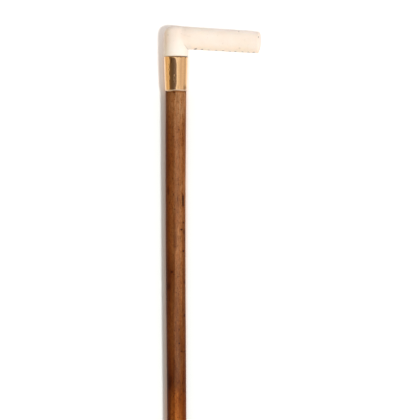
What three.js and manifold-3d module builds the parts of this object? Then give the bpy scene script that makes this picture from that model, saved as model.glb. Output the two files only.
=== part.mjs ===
// A walking stick: an L-shaped bone handle, a gold collar over the joint, a tapered cane shaft and a ferrule.
// Millimetres. +Z runs up the shaft, +X along the handle's arm, and the origin is the middle of the foot.
import * as THREE from "three";
import { mergeVertices } from "three/addons/utils/BufferGeometryUtils.js";
import Module from "manifold-3d";

const wasm = await Module();
wasm.setup();

// The whole stick, and the play between pieces that fit in each other
const overallHeight = 900;
const fitClearance = 0.04;
const cutOverrun = 1;

// Shaft: radii at its head, at the foot of the collar and where it enters the ferrule
const shaftHeadRadius = 10.6;
const shaftCollarRadius = 10.42;
const shaftFerruleRadius = 8.7;
// Places from the ferrule (0) to the collar (1), and how much of the growth in radius is reached there
const shaftSwellShares = [
  [0, 0],
  [0.3, 0.27],
  [0.61, 0.55],
  [0.74, 0.64],
  [0.86, 0.76],
  [0.94, 0.88],
  [1, 1],
];

// Collar and the pitch it is set in
const collarHeight = 33.7;
const collarWall = 0.5;
const collarFootTurnHeight = 3;
const collarFootTurnShare = 0.7;
const collarRimRadius = 0.2;
const beddingFootThickness = 0.2;
const beddingHeadThickness = 0.85;
const beddingRimSetback = 0.35;
const beddingAboveFoot = 2;
const jointThickness = 1;

// Handle: the upright stem with its rounded outer corner, and the arm that droops from it
const handleHeight = 30.5;
const stemOverhang = 0.2;
const stemEdgeRadius = 0.7;
// 2 would make the corner a ball, and more makes it squarer.
const cornerSquarenessShare = 2.7;
const armLength = 85.4;
const armDroopDegrees = 3.5;
const armSetIn = 0.65;
const armTuck = 0.05;
const armEndDomeHeight = 1.6;
const armEndEdgeRadius = 2.3;
// Places along the arm, and the radius there as a share of the radius at its root
const armRadiusShares = [
  [0, 1],
  [0.17, 0.996],
  [0.36, 0.981],
  [0.52, 0.974],
  [0.66, 0.981],
  [0.8, 0.968],
  [0.93, 0.96],
];

// Cross notches filed in the underside of the arm
const notchCount = 10;
const notchFromStem = 20;
const notchFromEnd = 6.6;
const notchWidth = 3.6;
const notchDepth = 0.5;
const notchFloorShare = 1.45;

// Steel stud that joins the handle to the shaft
const studRadius = 3.25;
const studInHandle = 15;
const studInShaft = 45;
const studEndChamfer = 0.6;
const studEndRoom = 0.8;

// Ferrule: brass sleeve, steel tip and two pins
const sleeveHeight = 38;
const sleeveWall = 0.8;
const sleeveProud = 0.1;
const sleeveTaper = 0.75;
const beadHeight = 2;
const beadRise = 0.35;
const tipHeight = 5;
const tipEdgeRadius = 1.6;
const tipSpigotHeight = 6;
const pinRadius = 0.8;
const pinLength = 6;
const pinHeadRadius = 1.3;
const pinHeadHeight = 0.4;
const pinPointHeight = 1;
const pinBelowSleeveTop = 9;
const pinEndRoom = 0.5;

// Counts of facets
const roundFacets = 48;
const armFacets = 60;
const smallFacets = 16;
const ringFacets = 72;
const arcSteps = 6;
const capSteps = 14;

// Heights that follow from the sizes
const sleeveFootZ = tipHeight;
const sleeveTopZ = sleeveFootZ + sleeveHeight;
const shaftFootZ = tipHeight + tipSpigotHeight;
const handleFootZ = overallHeight - handleHeight;
const shaftHeadZ = handleFootZ - jointThickness;
const collarFootZ = shaftHeadZ - collarHeight;

// Radii that follow from the sizes
const collarHeadInside = shaftHeadRadius + beddingHeadThickness;
const collarFootInside = shaftCollarRadius + beddingFootThickness;
const collarHeadRadius = collarHeadInside + collarWall;
const collarFootRadius = collarFootInside + collarWall;
const stemRadius = collarHeadRadius + stemOverhang;
const armRootRadius = stemRadius - armSetIn;
const sleeveTopRadius = shaftFerruleRadius + sleeveProud;
const sleeveFootRadius = sleeveTopRadius - sleeveTaper;

const lerp = THREE.MathUtils.lerp;
const quarterTurn = Math.PI / 2;

// The value that a table of [place, value] rows gives at a place between its rows.
function readTable(table, place) {
  const next = table.findIndex((row) => row[0] >= place);
  if (next === 0) return table[0][1];
  if (next < 0) return table[table.length - 1][1];
  const [placeA, valueA] = table[next - 1];
  const [placeB, valueB] = table[next];
  return lerp(valueA, valueB, (place - placeA) / (placeB - placeA));
}

// Points on an elliptical arc in a profile plane, from one angle to another.
function arc(centreX, centreY, radiusX, radiusY, from, to, steps) {
  const points = [];
  for (let i = 0; i <= steps; i += 1) {
    const angle = lerp(from, to, i / steps);
    points.push([centreX + radiusX * Math.cos(angle), centreY + radiusY * Math.sin(angle)]);
  }
  return points;
}

// The quarter of a superellipse that closes a post: from its side up to its axis.
function squareCap(centreZ, radius, squareness, steps) {
  const points = [];
  for (let i = 0; i <= steps; i += 1) {
    const angle = (quarterTurn * i) / steps;
    const out = Math.max(Math.cos(angle), 0) ** (2 / squareness);
    const up = Math.sin(angle) ** (2 / squareness);
    points.push([radius * out, centreZ + radius * up]);
  }
  return points;
}

// A profile of [radius, height] points turned about the Z axis.
function revolve(profile, facets) {
  const points = profile.map(([radius, height]) => new THREE.Vector2(Math.max(radius, 0), height));
  return new THREE.LatheGeometry(points, facets).rotateX(quarterTurn);
}

// A closed profile that doesn't touch the axis, so that the turned shape is a tube.
function revolveTube(profile, facets) {
  return revolve([...profile, profile[0]], facets);
}

// A plain round rod from one height to another, for holes.
function rod(radius, from, to, facets) {
  return revolve([[0, from], [radius, from], [radius, to], [0, to]], facets);
}

function toSolid(geometry) {
  const bare = geometry.clone();
  bare.deleteAttribute("normal");
  bare.deleteAttribute("uv");
  const merged = mergeVertices(bare);
  return new wasm.Manifold(
    new wasm.Mesh({
      numProp: 3,
      vertProperties: merged.attributes.position.array,
      triVerts: new Uint32Array(merged.index.array),
    }),
  );
}

function toGeometry(solid) {
  const { vertProperties, triVerts } = solid.getMesh();
  const geometry = new THREE.BufferGeometry();
  geometry.setAttribute("position", new THREE.BufferAttribute(vertProperties, 3));
  geometry.setIndex(new THREE.BufferAttribute(triVerts, 1));
  geometry.computeVertexNormals();
  return geometry;
}

function boneMaterial() {
  return new THREE.MeshStandardMaterial({ color: 0xf6e8d4, roughness: 0.32, metalness: 0 });
}

function goldMaterial() {
  return new THREE.MeshStandardMaterial({ color: 0xe0a860, roughness: 0.15, metalness: 1 });
}

function pitchMaterial() {
  return new THREE.MeshStandardMaterial({ color: 0x3a2c20, roughness: 0.7, metalness: 0 });
}

function caneMaterial() {
  return new THREE.MeshStandardMaterial({ color: 0x834d27, roughness: 0.3, metalness: 0 });
}

function brassMaterial() {
  return new THREE.MeshStandardMaterial({ color: 0xb08d4c, roughness: 0.35, metalness: 1 });
}

function steelMaterial() {
  return new THREE.MeshStandardMaterial({ color: 0x8a8782, roughness: 0.4, metalness: 1 });
}

// The radius of the arm at a distance from the stem's axis.
function armRadiusAt(distance) {
  return armRootRadius * readTable(armRadiusShares, distance / armLength);
}

// The stem: a round post whose rounded top is the outer corner of the handle.
function stemGeometry() {
  const capZ = overallHeight - stemRadius;
  const profile = [
    [0, handleFootZ],
    ...arc(
      stemRadius - stemEdgeRadius,
      handleFootZ + stemEdgeRadius,
      stemEdgeRadius,
      stemEdgeRadius,
      -quarterTurn,
      0,
      arcSteps,
    ),
    ...squareCap(capZ, stemRadius, cornerSquarenessShare, capSteps),
  ];
  return revolve(profile, roundFacets);
}

// The arm, turned about its own axis: a round root inside the stem, a slow waist and a domed end.
function armProfile() {
  const [lastPlaceShare, lastRadiusShare] = armRadiusShares[armRadiusShares.length - 1];
  const endRadius = armRootRadius * lastRadiusShare;
  const domeRadius = (endRadius ** 2 + armEndDomeHeight ** 2) / (2 * armEndDomeHeight);
  const domeZ = armLength - domeRadius;
  const edgeRadius = Math.min(armEndEdgeRadius, armLength * (1 - lastPlaceShare) - armEndDomeHeight);
  const edgeCentre = endRadius - edgeRadius;
  const edgeZ = domeZ + Math.sqrt((domeRadius - edgeRadius) ** 2 - edgeCentre ** 2);
  const edgeAngle = Math.atan2(edgeZ - domeZ, edgeCentre);
  const root = arc(0, 0, armRootRadius, armRootRadius, -quarterTurn, 0, arcSteps);
  const sides = armRadiusShares.slice(1).map(([place, share]) => [share * armRootRadius, place * armLength]);
  const edge = arc(edgeCentre, edgeZ, edgeRadius, edgeRadius, 0, edgeAngle, arcSteps);
  const dome = arc(0, domeZ, domeRadius, domeRadius, edgeAngle, quarterTurn, arcSteps).slice(1);
  return [...root, ...sides, ...edge, ...dome];
}

// One notch is cut by a thin ring laid round the underside, flatter than the arm, so that its ends run out.
function notchCutter(distance) {
  const armRadius = armRadiusAt(distance);
  const floorRadius = armRadius * notchFloorShare;
  const fileRadius = ((notchWidth / 2) ** 2 + notchDepth ** 2) / (2 * notchDepth);
  const ring = new THREE.TorusGeometry(floorRadius + fileRadius, fileRadius, roundFacets, ringFacets);
  return ring.translate(armRadius - notchDepth - floorRadius, 0, distance);
}

// Lays a shape that was made about the Z axis along the arm: its +X side becomes the underside.
function layAlongArm(geometry) {
  const armZ = overallHeight - stemRadius + armSetIn - armTuck;
  return geometry
    .rotateY(quarterTurn + THREE.MathUtils.degToRad(armDroopDegrees))
    .translate(0, 0, armZ);
}

function handleGeometry() {
  const arm = toSolid(layAlongArm(revolve(armProfile(), armFacets)));
  let handle = toSolid(stemGeometry()).add(arm);
  const notchPitch = (armLength - notchFromStem - notchFromEnd) / (notchCount - 1);
  for (let i = 0; i < notchCount; i += 1) {
    handle = handle.subtract(toSolid(layAlongArm(notchCutter(notchFromStem + i * notchPitch))));
  }
  const socketTopZ = handleFootZ + studInHandle + studEndRoom;
  const socket = rod(studRadius + fitClearance, handleFootZ - cutOverrun, socketTopZ, smallFacets);
  return toGeometry(handle.subtract(toSolid(socket)));
}

function handleStudGeometry() {
  const footZ = shaftHeadZ - studInShaft;
  const topZ = handleFootZ + studInHandle;
  const profile = [
    [0, footZ],
    [studRadius - studEndChamfer, footZ],
    [studRadius, footZ + studEndChamfer],
    [studRadius, topZ - studEndChamfer],
    [studRadius - studEndChamfer, topZ],
    [0, topZ],
  ];
  return revolve(profile, smallFacets);
}

// A thin tapered tube whose foot edge is turned in towards the shaft.
function collarGeometry() {
  const footTurn = collarWall * collarFootTurnShare;
  const turnTopZ = collarFootZ + collarFootTurnHeight;
  const rimZ = shaftHeadZ - collarRimRadius;
  const profile = [
    [collarFootInside, collarFootZ],
    ...arc(collarFootRadius - footTurn, turnTopZ, footTurn, collarFootTurnHeight, -quarterTurn, 0, arcSteps),
    ...arc(collarHeadRadius - collarRimRadius, rimZ, collarRimRadius, collarRimRadius, 0, quarterTurn, arcSteps),
    [collarHeadInside, shaftHeadZ],
  ];
  return revolveTube(profile, roundFacets);
}

// The pitch: a plate between handle and shaft, and a skirt that fills the collar.
function collarBeddingGeometry() {
  const skirtFootZ = collarFootZ + beddingAboveFoot;
  const skirtShare = beddingAboveFoot / collarHeight;
  const plateRadius = collarHeadRadius - beddingRimSetback;
  const boreRadius = studRadius + fitClearance;
  const profile = [
    [boreRadius, shaftHeadZ],
    [shaftHeadRadius + fitClearance, shaftHeadZ],
    [lerp(shaftCollarRadius, shaftHeadRadius, skirtShare) + fitClearance, skirtFootZ],
    [lerp(collarFootInside, collarHeadInside, skirtShare) - fitClearance, skirtFootZ],
    [collarHeadInside - fitClearance, shaftHeadZ],
    [plateRadius, shaftHeadZ],
    [plateRadius, handleFootZ],
    [boreRadius, handleFootZ],
  ];
  return revolveTube(profile, roundFacets);
}

// Outer radius of the ferrule's sleeve at a height.
function sleeveRadiusAt(z) {
  return lerp(sleeveFootRadius, sleeveTopRadius, (z - sleeveFootZ) / sleeveHeight);
}

// The hole or holes for the ferrule's pins, as one solid that runs out through both sides.
function pinHoles(depth) {
  const outside = sleeveTopRadius + cutOverrun;
  const inside = sleeveTopRadius - depth;
  const front = rod(pinRadius + fitClearance, inside, outside, smallFacets).rotateX(quarterTurn);
  const back = rod(pinRadius + fitClearance, inside, outside, smallFacets).rotateX(-quarterTurn);
  const pinZ = sleeveTopZ - pinBelowSleeveTop;
  return toSolid(front.translate(0, 0, pinZ)).add(toSolid(back.translate(0, 0, pinZ)));
}

// The cane: seated in the ferrule, swelling slowly to the collar, bored from its head for the stud.
function shaftGeometry() {
  const seatFootRadius = sleeveRadiusAt(shaftFootZ) - sleeveWall - fitClearance;
  const seatTopRadius = sleeveTopRadius - sleeveWall - fitClearance;
  const boreRadius = studRadius + fitClearance;
  const boreFootZ = shaftHeadZ - studInShaft - studEndRoom;
  const visible = shaftSwellShares.map(([place, growth]) => [
    lerp(shaftFerruleRadius, shaftCollarRadius, growth),
    lerp(sleeveTopZ, collarFootZ, place),
  ]);
  const profile = [
    [0, shaftFootZ],
    [seatFootRadius, shaftFootZ],
    [seatTopRadius, sleeveTopZ],
    ...visible,
    [shaftHeadRadius, shaftHeadZ],
    [boreRadius, shaftHeadZ],
    [boreRadius, boreFootZ],
    [0, boreFootZ],
  ];
  return toGeometry(toSolid(revolve(profile, roundFacets)).subtract(pinHoles(pinLength + pinEndRoom)));
}

// A tapered brass tube with a half-round bead round its top edge.
function ferruleSleeveGeometry() {
  const beadZ = sleeveTopZ - beadHeight / 2;
  const beadFootRadius = sleeveRadiusAt(sleeveTopZ - beadHeight);
  const profile = [
    [sleeveFootRadius - sleeveWall, sleeveFootZ],
    [sleeveFootRadius, sleeveFootZ],
    ...arc(beadFootRadius, beadZ, beadRise, beadHeight / 2, -quarterTurn, quarterTurn, arcSteps),
    [sleeveTopRadius - sleeveWall, sleeveTopZ],
  ];
  return toGeometry(toSolid(revolveTube(profile, roundFacets)).subtract(pinHoles(sleeveTopRadius)));
}

// A steel plug with a spigot in the sleeve and a flat foot with a worn round edge.
function ferruleTipGeometry() {
  const spigotFootRadius = sleeveFootRadius - sleeveWall - fitClearance;
  const spigotTopRadius = sleeveRadiusAt(shaftFootZ) - sleeveWall - fitClearance;
  const edgeCentre = sleeveFootRadius - tipEdgeRadius;
  const profile = [
    [0, 0],
    ...arc(edgeCentre, tipEdgeRadius, tipEdgeRadius, tipEdgeRadius, -quarterTurn, 0, arcSteps),
    [sleeveFootRadius, tipHeight],
    [spigotFootRadius, tipHeight],
    [spigotTopRadius, shaftFootZ],
    [0, shaftFootZ],
  ];
  return revolve(profile, roundFacets);
}

// A pin along Z with its point down and a low domed head that rests on the sleeve at height 0.
function ferrulePinGeometry() {
  const profile = [
    [0, -pinLength],
    [pinRadius, pinPointHeight - pinLength],
    [pinRadius, fitClearance],
    ...arc(0, fitClearance, pinHeadRadius, pinHeadHeight, 0, quarterTurn, arcSteps),
  ];
  return revolve(profile, smallFacets);
}

function namedMesh(name, geometry, material) {
  const mesh = new THREE.Mesh(geometry, material);
  mesh.name = name;
  return mesh;
}

// side is -1 for the front of the stick and 1 for the back.
function ferrulePin(name, side) {
  const pin = namedMesh(name, ferrulePinGeometry(), brassMaterial());
  const pinZ = sleeveTopZ - pinBelowSleeveTop;
  pin.position.set(0, side * sleeveRadiusAt(pinZ), pinZ);
  pin.rotation.x = -side * quarterTurn;
  return pin;
}

const ferrule = new THREE.Group();
ferrule.add(
  namedMesh("ferrule_sleeve", ferruleSleeveGeometry(), brassMaterial()),
  namedMesh("ferrule_tip", ferruleTipGeometry(), steelMaterial()),
  ferrulePin("ferrule_pin_front", -1),
  ferrulePin("ferrule_pin_back", 1),
);

const walkingStick = new THREE.Group();
walkingStick.add(
  namedMesh("handle", handleGeometry(), boneMaterial()),
  namedMesh("handle_stud", handleStudGeometry(), steelMaterial()),
  namedMesh("collar", collarGeometry(), goldMaterial()),
  namedMesh("collar_bedding", collarBeddingGeometry(), pitchMaterial()),
  namedMesh("shaft", shaftGeometry(), caneMaterial()),
  ferrule,
);

export default walkingStick;
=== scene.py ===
import math

import bpy
import numpy as np
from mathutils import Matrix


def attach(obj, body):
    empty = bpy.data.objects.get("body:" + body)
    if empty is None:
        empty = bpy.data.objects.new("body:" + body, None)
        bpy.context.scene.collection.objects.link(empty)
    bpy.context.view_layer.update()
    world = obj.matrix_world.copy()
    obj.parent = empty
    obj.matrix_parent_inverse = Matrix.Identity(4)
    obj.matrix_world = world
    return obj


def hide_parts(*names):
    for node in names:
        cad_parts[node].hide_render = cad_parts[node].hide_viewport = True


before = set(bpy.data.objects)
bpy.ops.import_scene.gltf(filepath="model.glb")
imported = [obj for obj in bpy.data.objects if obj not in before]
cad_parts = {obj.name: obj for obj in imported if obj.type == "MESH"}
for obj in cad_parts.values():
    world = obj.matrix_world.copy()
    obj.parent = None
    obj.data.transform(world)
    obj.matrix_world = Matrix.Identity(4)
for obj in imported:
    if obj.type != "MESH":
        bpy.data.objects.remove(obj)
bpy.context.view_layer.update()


# --- Camera ---
# The stick is looked at square on and from far off, with the handle near the top of the frame and the foot out of
# it. One pixel of the 420 is one millimetre at the stick.
mm = 0.001
quarter_turn = math.pi / 2
camera_distance, frame_width, view_across, view_height = 2333, 420, 34.1, 715.8
bpy.ops.object.select_all(action="DESELECT")
bpy.ops.object.camera_add(location=(view_across * mm, -camera_distance * mm, view_height * mm),
                          rotation=(quarter_turn, 0, 0))
camera = bpy.context.object
camera.name = "camera"
camera.data.sensor_width = 36
camera.data.lens = camera.data.sensor_width * camera_distance / frame_width
camera.data.clip_end = 100
bpy.context.scene.camera = camera
bpy.context.scene.view_settings.view_transform = "Standard"


# --- Floor and backing ---
# A pale floor that the foot stands on, and a white paper backing that the stick lies against, so that its shadow
# falls close beside it. The backing shows only from the front and takes no light away from the stick.
def linear(hex_colour):
    """An sRGB hex colour as the linear colour, with alpha, that a shader socket takes."""
    channels = [int(hex_colour[i:i + 2], 16) / 255 for i in (0, 2, 4)]
    return [c / 12.92 if c <= 0.04045 else ((c + 0.055) / 1.055) ** 2.4 for c in channels] + [1.0]


def add(tree, kind, inputs=None, stops=(), **settings):
    """Adds one node. Inputs are values, hex colours, sockets, or nodes, of which the first output is meant. Stops
    are a ramp's, as (place, colour), and settings are the node's own properties."""
    node = tree.nodes.new("ShaderNode" + kind)
    for name, value in settings.items():
        setattr(node, name, value)
    if stops:
        elements = node.color_ramp.elements
        while len(elements) < len(stops):
            elements.new(1.0)
        for element, (place, colour) in zip(elements, stops):
            element.position = place
            element.color = linear(colour) if isinstance(colour, str) else colour
    for name, value in (inputs or {}).items():
        if isinstance(value, bpy.types.Node):
            value = value.outputs[0]
        if isinstance(value, bpy.types.NodeSocket):
            tree.links.new(value, node.inputs[name])
        else:
            node.inputs[name].default_value = linear(value) if isinstance(value, str) else value
    return node


def new_material(name):
    """An empty node material and its tree."""
    material = bpy.data.materials.new(name)
    material.use_nodes = True
    material.node_tree.nodes.clear()
    return material, material.node_tree


floor_half_width = 14000
bpy.ops.object.select_all(action="DESELECT")
bpy.ops.mesh.primitive_plane_add(size=2 * floor_half_width * mm)
floor = bpy.context.object
floor.name = "floor"
floor_paint, tree = new_material("floor_paint")
shader = add(tree, "BsdfDiffuse", {"Color": "e9e7e4"})
add(tree, "OutputMaterial", {"Surface": shader})
floor.data.materials.append(floor_paint)
floor.visible_shadow = False
floor.visible_glossy = False

# Heights, and how far behind the stick's axis the paper is there: it follows the shaft and the wider collar
backing_rows = [(0, 9.4), (300, 9.6), (526, 9.85), (650, 10), (716, 10.15), (756, 10.65), (801, 11.3), (822, 11.7),
                (834, 12.6), (842, 13.9), (866, 14.2), (872, 13.8), (3000, 13.8)]
backing_half_width = 4000
bpy.ops.object.select_all(action="DESELECT")
bpy.ops.mesh.primitive_plane_add(size=2 * backing_half_width * mm, rotation=(quarter_turn, 0, 0))
backing = bpy.context.object
backing.name = "backing"
bpy.ops.object.transform_apply(rotation=True)
bpy.ops.object.mode_set(mode="EDIT")
bpy.ops.mesh.select_all(action="SELECT")
bpy.ops.mesh.delete(type="ONLY_FACE")
bpy.ops.object.mode_set(mode="OBJECT")
for vertex in backing.data.vertices:
    vertex.select = vertex.co.z > 0
bpy.ops.object.mode_set(mode="EDIT")
bpy.ops.mesh.delete(type="VERT")
bpy.ops.mesh.select_all(action="SELECT")
first_height, first_behind = backing_rows[0]
bpy.ops.transform.translate(value=(0, first_behind * mm, (backing_half_width + first_height) * mm))
for (height_a, behind_a), (height_b, behind_b) in zip(backing_rows, backing_rows[1:]):
    step = (0, (behind_b - behind_a) * mm, (height_b - height_a) * mm)
    bpy.ops.mesh.extrude_region_move(TRANSFORM_OT_translate={"value": step})
bpy.ops.object.mode_set(mode="OBJECT")
bpy.ops.object.shade_smooth()
for face in backing.data.polygons:
    if face.normal.y > 0:
        face.flip()
paper, tree = new_material("white_paper")
geometry = add(tree, "NewGeometry")
place = add(tree, "SeparateXYZ", {0: geometry.outputs["Position"]})
# Close beside the stick the paper is painted a little darker and warmer: a painted shade, warm with the light that
# the brown and the gold throw on it. The stick's half width as (height, mm), and how much of this painted shade each
# height has. A ramp holds half widths as shares of the widest.
stick_edges = [(0, 8.7), (834.8, 10.42), (835.8, 10.9), (868, 11.9), (869.5, 12.15), (900, 12.15)]
painted_shade_shares = [(0, 1), (866, 1), (872, 0.5), (884, 0.5), (894, 0)]
stick_height, widest, painted_shade_reach = 900, 20, 2.4


def by_height(tree, place, rows):
    """What rows of (height in mm, grey value or colour) give at each height of the stick."""
    share = add(tree, "Math", {0: place.outputs["Z"], 1: stick_height * mm}, operation="DIVIDE")
    stops = [(height / stick_height, value if isinstance(value, tuple) else [value] * 3 + [1])
             for height, value in rows]
    return add(tree, "ValToRGB", {0: share}, stops)


edge = by_height(tree, place, [(height, half_width / widest) for height, half_width in stick_edges])
across = add(tree, "Math", {0: place.outputs["X"]}, operation="ABSOLUTE")
past_edge = add(tree, "Math", {0: edge, 1: -widest * mm, 2: across}, operation="MULTIPLY_ADD")
beside = add(tree, "MapRange", {0: past_edge, 1: 0, 2: painted_shade_reach * mm, 3: 1, 4: 0})
painted_contact_shade = add(tree, "Math", {0: beside, 1: by_height(tree, place, painted_shade_shares)}, operation="MULTIPLY")
paper_with_painted_shade = add(tree, "Mix", {0: painted_contact_shade, 6: "f3f3f1", 7: "f1dcce"}, data_type="RGBA")
white = add(tree, "BsdfDiffuse", {"Color": paper_with_painted_shade.outputs[2]})
# Near the handle and the collar the paper also glows a little: a painted bounce of the light that they throw back
# on it, weaker close beside the stick.
near_handle = add(tree, "MapRange", {0: place.outputs["Z"], 1: 822 * mm, 2: 850 * mm, 3: 0, 4: 1},
                  interpolation_type="SMOOTHSTEP")
glow_outside_shade = add(tree, "Math", {0: painted_contact_shade, 1: -0.6, 2: 1}, operation="MULTIPLY_ADD")
painted_bounce_share = add(tree, "Math", {0: near_handle, 1: glow_outside_shade}, operation="MULTIPLY")
painted_bounce_glow = add(tree, "Emission", {"Color": "5b4b4c", "Strength": painted_bounce_share})
lit = add(tree, "AddShader", {0: white, 1: painted_bounce_glow})
clear = add(tree, "BsdfTransparent")
one_sided = add(tree, "MixShader", {0: geometry.outputs["Backfacing"], 1: lit, 2: clear})
add(tree, "OutputMaterial", {"Surface": one_sided})
backing.data.materials.append(paper)
backing.visible_diffuse = False
backing.visible_glossy = False
backing.visible_transmission = False
backing.visible_shadow = False


# --- Studio light ---
# A pale room with a dark opening to the front and left, where the camera stands, and one broad lamp to the right of
# it, low and far off. The gold collar mirrors all of this, so the room's tones go by direction.
world = bpy.data.worlds.new("studio")
bpy.context.scene.world = world
world.use_nodes = True
tree = world.node_tree
tree.nodes.clear()
direction = add(tree, "TexCoord")
parts = add(tree, "SeparateXYZ", {0: direction.outputs["Generated"]})


def degrees_round(tree, parts):
    """Degrees round the stick: 0 is towards the camera, and positive is to the right of it."""
    towards_camera = add(tree, "Math", {0: parts.outputs["Y"], 1: -1}, operation="MULTIPLY")
    around = add(tree, "Math", {0: parts.outputs["X"], 1: towards_camera}, operation="ARCTAN2")
    return add(tree, "Math", {0: around}, operation="DEGREES")


def away_from(tree, value, middle):
    """How far a value is from the middle, on either side of it."""
    off = add(tree, "Math", {0: value, 1: middle}, operation="SUBTRACT")
    return add(tree, "Math", {0: off}, operation="ABSOLUTE")


around = degrees_round(tree, parts)
up_angle = add(tree, "Math", {0: parts.outputs["Z"]}, operation="ARCSINE")
up = add(tree, "Math", {0: up_angle}, operation="DEGREES")
# Radiance round the horizon, as (degrees, level): warm from the wooden things on the left, whiter on the right
room_levels = [(-180, 1.1), (-135, 1.05), (-122, 0.98), (-113, 0.76), (-106, 0.64), (-99, 0.76), (-91, 0.86),
               (-80, 0.8), (-72, 0.78), (0, 0.85), (8, 1), (16, 1.02), (25, 0.9), (35, 0.87), (45, 0.73),
               (55, 0.69), (66, 0.82), (79, 0.8), (93, 0.7), (107, 0.6), (115, 0.72), (122, 0.95), (135, 1.1),
               (180, 1.1)]
room_tints = [(-180, (1, 0.98, 0.95)), (-130, (1, 0.98, 0.95)), (-120, (1, 0.93, 0.85)), (-106, (1, 0.8, 0.5)),
              (-91, (1, 0.82, 0.55)), (-78, (1, 0.85, 0.58)), (8, (1, 1, 1)), (16, (1, 1.03, 1.08)),
              (25, (1, 0.97, 0.93)), (45, (1, 0.92, 0.87)), (108, (1, 0.91, 0.84)), (127, (1, 1, 1.02)),
              (180, (1, 0.98, 0.95))]
place = add(tree, "MapRange", {0: around, 1: -180, 2: 180})
room_strength = 1.2
room_stops = []
for degrees, level in room_levels:
    tint = [np.interp(degrees, [row[0] for row in room_tints], [row[1][i] for row in room_tints]) for i in range(3)]
    room_stops.append(((degrees + 180) / 360, [level / room_strength * part for part in tint] + [1]))
room = add(tree, "ValToRGB", {0: place}, room_stops)
# The dark opening is a rounded rectangle in degrees round and degrees up.
dark_middle, dark_half_width, dark_height, dark_half_height = -31.2, 41, 1, 22
dark_corner, dark_soft = 14, 3
sides = []
for angle, middle, half in ((around, dark_middle, dark_half_width), (up, dark_height, dark_half_height)):
    past = add(tree, "Math", {0: away_from(tree, angle, middle), 1: half - dark_corner}, operation="SUBTRACT")
    sides.append(add(tree, "Math", {0: past, 1: 0}, operation="MAXIMUM"))
both = add(tree, "CombineXYZ", {0: sides[0], 1: sides[1]})
outside = add(tree, "VectorMath", {0: both}, operation="LENGTH")
in_dark = add(tree, "MapRange",
              {0: outside.outputs["Value"], 1: dark_corner - dark_soft, 2: dark_corner, 3: 1, 4: 0},
              interpolation_type="SMOOTHSTEP")
# Its colours, as (degrees round, colour), are warmer on the left.
dark_colours = [(-80, "7c613f"), (-58, "6f5d45"), (-44, "5f5142"), (-26, "5f574d"), (-13, "6c6363"), (-3, "7e797c"),
                (10, "898184")]
dark_stops = [((degrees + 180) / 360, colour) for degrees, colour in dark_colours]
in_opening = add(tree, "ValToRGB", {0: place}, dark_stops)
opening = add(tree, "Mix", {0: in_dark, 6: room, 7: in_opening}, data_type="RGBA")
# A plain white ceiling, even all round
ceiling_from, ceiling_full = 24, 50
overhead = add(tree, "MapRange", {0: up, 1: ceiling_from, 2: ceiling_full}, interpolation_type="SMOOTHSTEP")
lit_room = add(tree, "Mix", {0: overhead, 6: opening.outputs[2], 7: "d4d6d6"}, data_type="RGBA")
# The camera itself sees plain white paper behind everything.
rays = add(tree, "LightPath")
room_light = add(tree, "Background", {"Color": lit_room.outputs[2], "Strength": room_strength})
seen = add(tree, "Background", {"Color": "fdfcfa", "Strength": 1})
chosen = add(tree, "MixShader", {0: rays.outputs["Is Camera Ray"], 1: room_light, 2: seen})
add(tree, "OutputWorld", {"Surface": chosen})

# How far round and how far up the lamp shines from, and how wide it looks
lamp_around, lamp_up, lamp_width = math.radians(21.5), math.radians(-7.2), math.radians(7.8)
bpy.ops.object.select_all(action="DESELECT")
bpy.ops.object.light_add(type="SUN", location=(1.8, -4.6, 0.6), rotation=(quarter_turn - lamp_up, 0, lamp_around))
lamp = bpy.context.object
lamp.name = "lamp"
lamp.data.angle = lamp_width
lamp.data.energy = 2.16
lamp.data.color = linear("f6fdff")[:3]
lamp.visible_glossy = False


# --- Shaft ---
# One straight length of cane, scraped, stained brown and waxed, with its long fibres and a paler ridge showing.
# It is a little bowed, as real cane is. Its head is bored for the stud and its foot is seated in the ferrule.
def turn_rings(name, rings, sides, hollow=False):
    """Draws a ring out along its axis: rings are (radius, height) or (radius, height, shift to the side) in mm, in
    order. A hollow piece has no ends, and comes round to its first ring again."""
    rings = [(*ring, 0)[:3] for ring in rings]
    if hollow:
        rings.append(rings[0])
    radius, height, shift = rings[0]
    bpy.ops.object.select_all(action="DESELECT")
    bpy.ops.mesh.primitive_circle_add(vertices=sides, radius=radius * mm, location=(shift * mm, 0, height * mm),
                                      fill_type="NOTHING" if hollow else "NGON")
    piece = bpy.context.object
    piece.name = name
    bpy.ops.object.transform_apply(location=True)
    bpy.ops.object.mode_set(mode="EDIT")
    bpy.ops.mesh.select_all(action="SELECT")
    for (radius_a, height_a, shift_a), (radius_b, height_b, shift_b) in zip(rings, rings[1:]):
        step = ((shift_b - shift_a) * mm, 0, (height_b - height_a) * mm)
        bpy.ops.mesh.extrude_region_move(TRANSFORM_OT_translate={"value": step})
        growth = radius_b / radius_a
        bpy.ops.transform.resize(value=(growth, growth, 1), center_override=(shift_b * mm, 0, height_b * mm))
    bpy.ops.mesh.select_all(action="SELECT")
    bpy.ops.mesh.remove_doubles(threshold=0.005 * mm)
    bpy.ops.mesh.normals_make_consistent(inside=False)
    bpy.ops.object.mode_set(mode="OBJECT")
    return piece


def smooth(piece, degrees):
    """Smooth shading, with edges sharper than the angle left crisp."""
    bpy.ops.object.select_all(action="DESELECT")
    piece.select_set(True)
    bpy.context.view_layer.objects.active = piece
    bpy.ops.object.shade_smooth_by_angle(angle=math.radians(degrees))


def ramp(values, start, end):
    """0 before start, 1 past end, and a straight way between."""
    return np.clip((values - start) / (end - start), 0, 1)


shaft_foot, ferrule_top, collar_foot, shaft_head = 11, 43, 834.8, 868.5
head_radius, bore_radius, bore_floor = 10.6, 3.29, 822.7
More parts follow.
